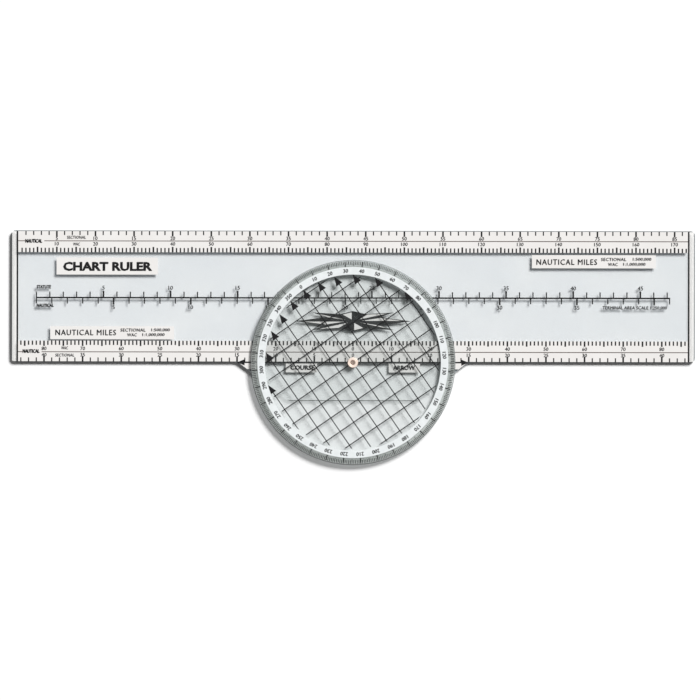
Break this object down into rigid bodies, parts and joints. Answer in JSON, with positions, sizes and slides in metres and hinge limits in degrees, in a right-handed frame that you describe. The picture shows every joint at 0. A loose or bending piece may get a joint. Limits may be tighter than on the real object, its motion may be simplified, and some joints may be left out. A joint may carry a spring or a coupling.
{
  "type": "rotating azimuth chart plotter",
  "caption": "Clear straight rule with printed mileage scales and a clear compass disc that turns on a brass eyelet at its lower edge.",
  "frame": {"origin": "on the eyelet's axis, in the plane of the rule's underside", "axes": "+X along the rule to the right as it is read, +Y across the rule from the lower straightedge to the upper one, +Z along the eyelet's axis towards the reader"},
  "size_m": [0.328, 0.1124, 0.0033],
  "materials": {
    "clear_blade": "clear polished sheet with a faint cool tint",
    "clear_disc": "clear sheet, faintly frosted on its underside",
    "spacer_nylon": "natural translucent nylon",
    "eyelet_brass": "rolled and lightly tarnished",
    "white_ink": "screen-printed opaque white",
    "black_ink": "screen-printed opaque black"
  },
  "bodies": {
    "rule": {"blade": "clear_blade", "eyelet": "eyelet_brass", "eyelet_washer": "eyelet_brass", "disc_spacer": "spacer_nylon", "upper_scale_band": "white_ink", "lower_scale_band": "white_ink", "title_panel": "white_ink", "upper_scale_panel": "white_ink", "lower_scale_panel": "white_ink", "course_panel": "white_ink", "arrow_panel": "white_ink", "emblem_ground": "black_ink", "emblem_facets": "white_ink", "scale_end_lines": "black_ink", "band_dividers": "black_ink", "upper_sectional_ticks": "black_ink", "upper_world_ticks": "black_ink", "lower_sectional_ticks": "black_ink", "lower_world_ticks": "black_ink", "terminal_scale_line": "black_ink", "terminal_statute_ticks": "black_ink", "terminal_nautical_ticks": "black_ink", "course_line": "black_ink"},
    "compass": {"azimuth_disc": "clear_disc", "azimuth_ring": "white_ink", "degree_marks": "black_ink", "bearing_grid": "black_ink"}
  },
  "joints": [
    {"name": "azimuth_turn", "type": "hinge", "parent": "rule", "child": "compass", "pos_m": [0, 0, 0], "axis": [0, 0, 1], "continuous": true}
  ]
}
